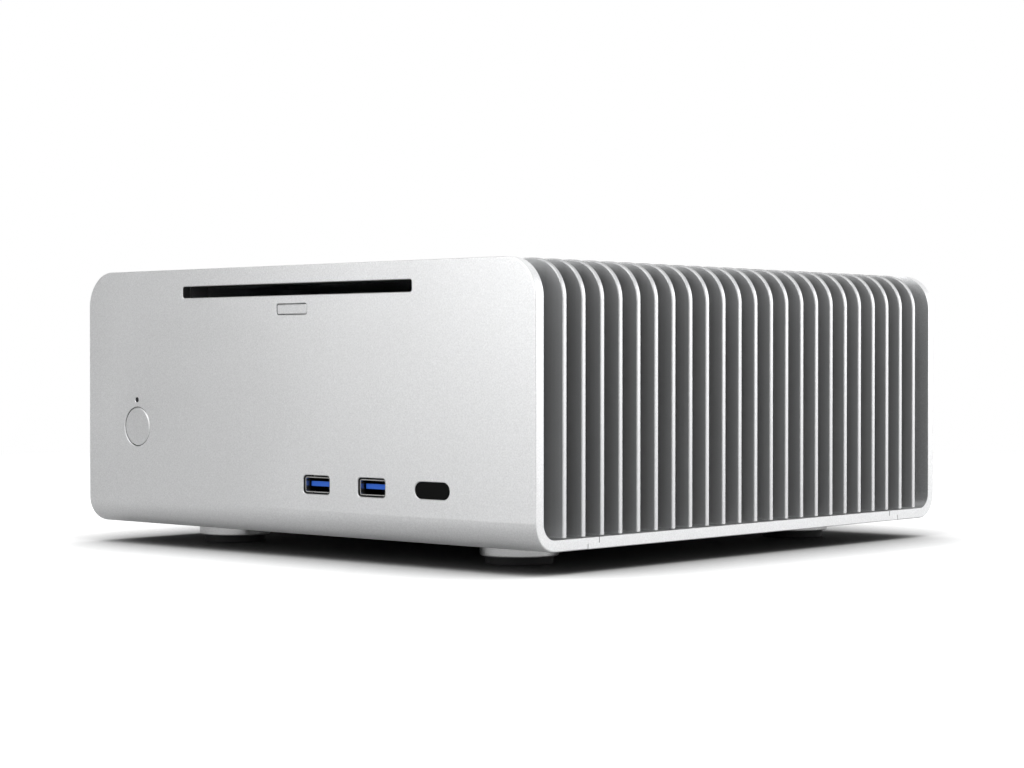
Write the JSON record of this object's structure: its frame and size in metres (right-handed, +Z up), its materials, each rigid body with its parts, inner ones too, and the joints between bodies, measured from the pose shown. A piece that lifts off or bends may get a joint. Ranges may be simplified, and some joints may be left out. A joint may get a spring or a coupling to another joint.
{
  "type": "fanless mini computer",
  "caption": "Compact aluminium computer case with finned side heatsinks, slot-loading disc drive, push buttons and ports, on round feet.",
  "frame": {"origin": "centre of the footprint, on the surface that the rubber feet stand on", "axes": "+X to the right seen from the front, +Y from front to back, +Z up"},
  "size_m": [0.24, 0.25, 0.108],
  "materials": {
    "shell": "bead-blasted, clear anodised",
    "heatsink": "satin extruded, clear anodised",
    "button": "bead-blasted with a bright chamfer",
    "foot_metal": "turned, satin",
    "foot_rubber": "matt moulded rubber",
    "steel_zinc": "zinc plated",
    "screw": "bright zinc",
    "nickel": "nickel-plated contact shell",
    "tongue": "moulded blue insulator",
    "dark_plastic": "fine moulded black",
    "lens": "polished dark infrared window",
    "clear_plastic": "clear light pipe",
    "board": "green solder mask",
    "copper": "copper, drawn",
    "brass": "turned brass",
    "socket_plastic": "moulded socket",
    "nylon": "natural nylon",
    "grey_anodised": "dark anodised"
  },
  "bodies": {
    "case": {"front_panel": "shell", "rear_panel": "shell", "base_plate": "shell", "heatsink_left": "heatsink", "heatsink_right": "heatsink", "cover_clips": "nylon", "corner_brackets": "foot_metal", "pan_screws": "screw", "flat_screws": "screw", "foot_rings": "foot_metal", "foot_pads": "foot_rubber", "foot_screws": "screw", "power_board": "board", "power_switch": "dark_plastic", "power_light_pipe": "clear_plastic", "eject_board": "board", "eject_switch": "dark_plastic", "board_posts": "brass", "disc_guide": "dark_plastic", "drive_case": "steel_zinc", "drive_lid": "steel_zinc", "drive_chassis": "steel_zinc", "drive_motor": "steel_zinc", "drive_rails": "screw", "drive_carrier": "steel_zinc", "storage_drive": "grey_anodised", "port_board": "board", "usb_shells": "nickel", "usb_tongues": "tongue", "ir_receiver": "dark_plastic", "ir_window": "lens", "main_board": "board", "board_standoffs": "brass", "cpu_socket": "socket_plastic", "processor": "nickel", "heat_block": "copper", "heat_block_cap": "foot_metal", "block_screws": "screw", "heat_pipes": "copper", "pipe_bars": "foot_metal", "bar_screws": "screw", "memory_slots": "socket_plastic", "memory_modules": "board", "chipset_heatsink": "grey_anodised", "board_capacitors": "grey_anodised", "io_shield": "steel_zinc", "rear_port_shells": "nickel", "rear_tongues": "tongue", "rear_audio_ports": "dark_plastic", "dc_inlet": "dark_plastic", "dc_pin": "nickel"},
    "cover": {"top_cover": "shell", "cover_studs": "brass"},
    "power_key": {"power_button": "button"},
    "eject_key": {"eject_button": "button"},
    "disc_hub": {"drive_hub": "socket_plastic"},
    "load_roller": {"drive_roller": "foot_rubber"},
    "laser_sled": {"drive_sled": "socket_plastic"},
    "latch_left": {"memory_latch_left": "nylon"},
    "latch_right": {"memory_latch_right": "nylon"}
  },
  "joints": [
    {"name": "cover_lift", "type": "slide", "parent": "case", "child": "cover", "axis": [0, 0, 1], "range_m": [0, 0.12]},
    {"name": "power_press", "type": "slide", "parent": "case", "child": "power_key", "axis": [0, 1, 0], "range_m": [0, 0.0008], "stiffness_N_per_m": 1500, "springref_m": -0.0008},
    {"name": "eject_press", "type": "slide", "parent": "case", "child": "eject_key", "axis": [0, 1, 0], "range_m": [0, 0.0008], "stiffness_N_per_m": 1500, "springref_m": -0.0008},
    {"name": "hub_spin", "type": "hinge", "parent": "case", "child": "disc_hub", "pos_m": [0, -0.048, 0.09262], "axis": [0, 0, 1], "continuous": true},
    {"name": "roller_spin", "type": "hinge", "parent": "case", "child": "load_roller", "pos_m": [0, -0.106, 0.09377], "axis": [1, 0, 0], "continuous": true},
    {"name": "sled_slide", "type": "slide", "parent": "case", "child": "laser_sled", "axis": [0, 1, 0], "range_m": [0, 0.0314]},
    {"name": "latch_left_tilt", "type": "hinge", "parent": "case", "child": "latch_left", "pos_m": [-0.066, -0.048, 0.0245], "axis": [1, 0, 0], "range_deg": [0, 30]},
    {"name": "latch_right_tilt", "type": "hinge", "parent": "case", "child": "latch_right", "pos_m": [-0.056, -0.048, 0.0245], "axis": [1, 0, 0], "range_deg": [0, 30]}
  ]
}
